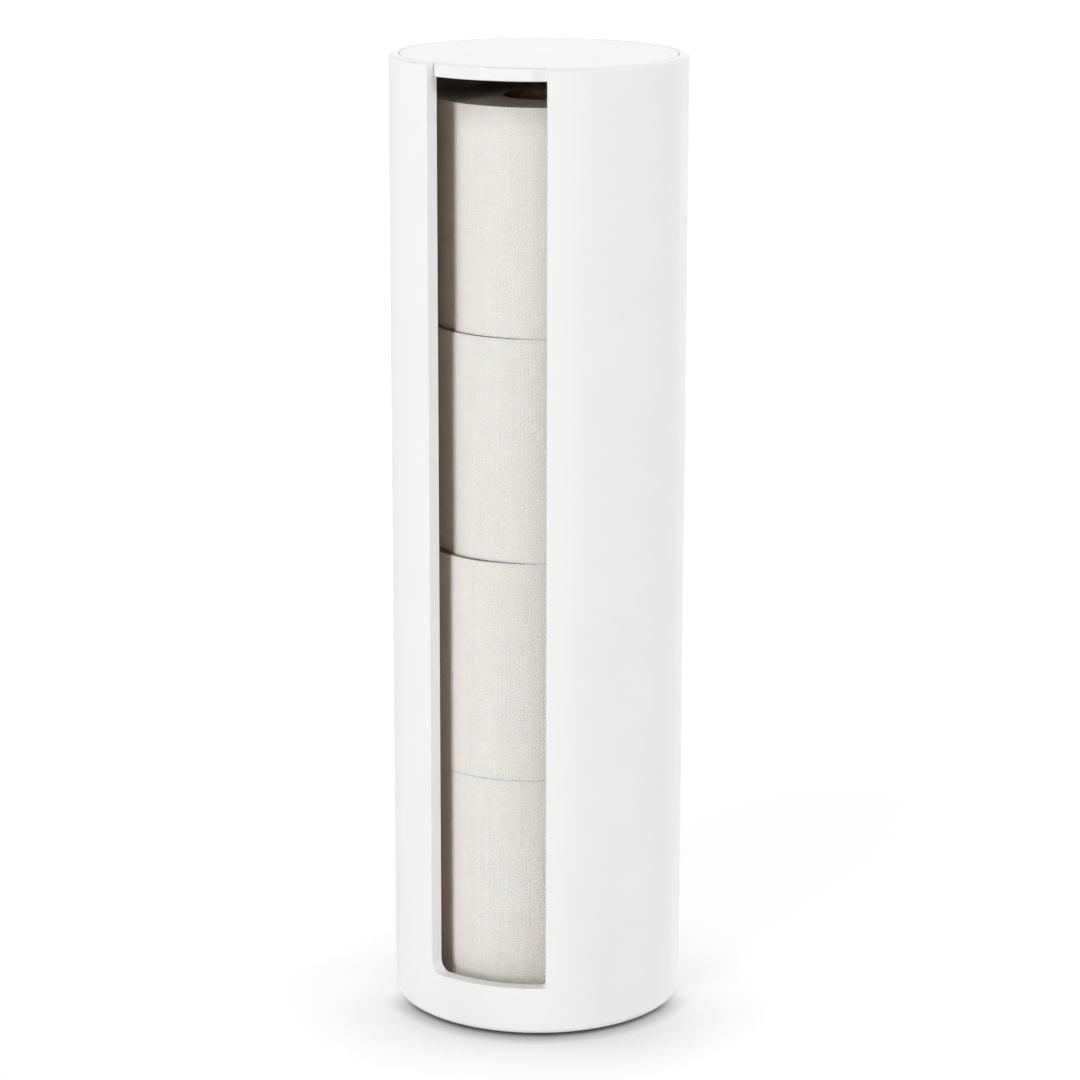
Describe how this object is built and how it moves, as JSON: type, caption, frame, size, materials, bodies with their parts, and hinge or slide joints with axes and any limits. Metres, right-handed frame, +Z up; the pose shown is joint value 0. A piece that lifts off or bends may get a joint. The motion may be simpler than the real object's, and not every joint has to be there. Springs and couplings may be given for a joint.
{
  "type": "toilet paper storage holder",
  "caption": "Slim upright white tube with a tall front slot, a flat lid level with its rim and a stack of spare toilet rolls inside, standing on recessed pads.",
  "frame": {"origin": "on the floor, under the middle of the tube", "axes": "+Z up along the tube's axis, the slot faces -Y, +X is to the right of someone who faces the slot"},
  "size_m": [0.132, 0.132, 0.4343],
  "materials": {
    "shell_white": "matte",
    "lid_white": "matte",
    "base_white": "matte",
    "pad_rubber": "matte",
    "tissue": "matte",
    "core_board": "matte"
  },
  "bodies": {
    "holder": {"tube_shell": "shell_white", "base_plate": "base_white", "foot_pad_1": "pad_rubber", "foot_pad_2": "pad_rubber", "foot_pad_3": "pad_rubber", "foot_pad_4": "pad_rubber"},
    "roll_1": {"roll_1_paper": "tissue", "roll_1_core": "core_board"},
    "roll_2": {"roll_2_paper": "tissue", "roll_2_core": "core_board"},
    "roll_3": {"roll_3_paper": "tissue", "roll_3_core": "core_board"},
    "roll_4": {"roll_4_paper": "tissue", "roll_4_core": "core_board"},
    "lid": {"lid": "lid_white"}
  },
  "joints": [
    {"name": "roll_1_lift", "type": "slide", "parent": "holder", "child": "roll_1", "axis": [0, 0, 1], "range_m": [0, 0.439]},
    {"name": "roll_2_lift", "type": "slide", "parent": "roll_1", "child": "roll_2", "axis": [0, 0, 1], "range_m": [0, 0.339]},
    {"name": "roll_3_lift", "type": "slide", "parent": "roll_2", "child": "roll_3", "axis": [0, 0, 1], "range_m": [0, 0.239]},
    {"name": "roll_4_lift", "type": "slide", "parent": "roll_3", "child": "roll_4", "axis": [0, 0, 1], "range_m": [0, 0.139]},
    {"name": "lid_lift", "type": "slide", "parent": "roll_4", "child": "lid", "axis": [0, 0, 1], "range_m": [0, 0.06]}
  ]
}
